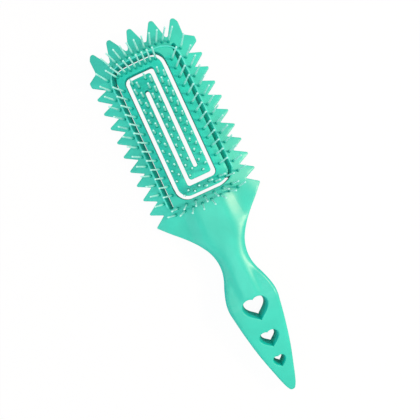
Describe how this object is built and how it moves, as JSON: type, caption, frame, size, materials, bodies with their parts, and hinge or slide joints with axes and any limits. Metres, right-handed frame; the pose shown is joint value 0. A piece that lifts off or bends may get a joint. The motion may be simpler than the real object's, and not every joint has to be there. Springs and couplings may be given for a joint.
{
  "type": "hair styling brush",
  "caption": "Flat vented hair brush with toothed head edges, a springy slotted pad with moulded pins, a waisted neck and a leaf-shaped handle with heart openings.",
  "frame": {"origin": "middle of the brush's length and width, on the plane that its back rests on", "axes": "+Y from the tail to the crown, +Z out of the pin side, +X across the head"},
  "size_m": [0.0694, 0.2337, 0.0245],
  "materials": {
    "handle_front_shell": "satin",
    "handle_back_shell": "satin",
    "edge_pins_left": "satin",
    "edge_pins_right": "satin",
    "crown_pins": "satin",
    "neck_pins": "satin",
    "pad_island": "satin",
    "island_pins": "satin",
    "pad_arm_left": "satin",
    "left_bar_pins": "satin",
    "top_bar_pins": "satin",
    "pad_arm_right": "satin",
    "right_bar_pins": "satin",
    "bottom_bar_pins": "satin"
  },
  "bodies": {
    "brush_body": {"handle_front_shell": "handle_front_shell", "handle_back_shell": "handle_back_shell", "edge_pins_left": "edge_pins_left", "edge_pins_right": "edge_pins_right", "crown_pins": "crown_pins", "neck_pins": "neck_pins"},
    "island": {"pad_island": "pad_island", "island_pins": "island_pins"},
    "arm_left": {"pad_arm_left": "pad_arm_left", "left_bar_pins": "left_bar_pins", "top_bar_pins": "top_bar_pins"},
    "arm_right": {"pad_arm_right": "pad_arm_right", "right_bar_pins": "right_bar_pins", "bottom_bar_pins": "bottom_bar_pins"}
  },
  "joints": [
    {"name": "pad_press", "type": "slide", "parent": "brush_body", "child": "island", "axis": [0, 0, 1], "range_m": [-0.0025, 0], "stiffness_N_per_m": 400},
    {"name": "arm_left_flex", "type": "hinge", "parent": "brush_body", "child": "arm_left", "pos_m": [0, 0.0156, 0.00636], "axis": [1, 0, 0], "range_deg": [-2.1, 0]},
    {"name": "arm_right_flex", "type": "hinge", "parent": "brush_body", "child": "arm_right", "pos_m": [0, 0.0919, 0.00636], "axis": [1, 0, 0], "range_deg": [0, 2.1]}
  ],
  "couplings": [
    {"joint": "arm_left_flex", "follows": "pad_press", "rad_per_m": 13.957},
    {"joint": "arm_right_flex", "follows": "pad_press", "rad_per_m": -13.957}
  ]
}
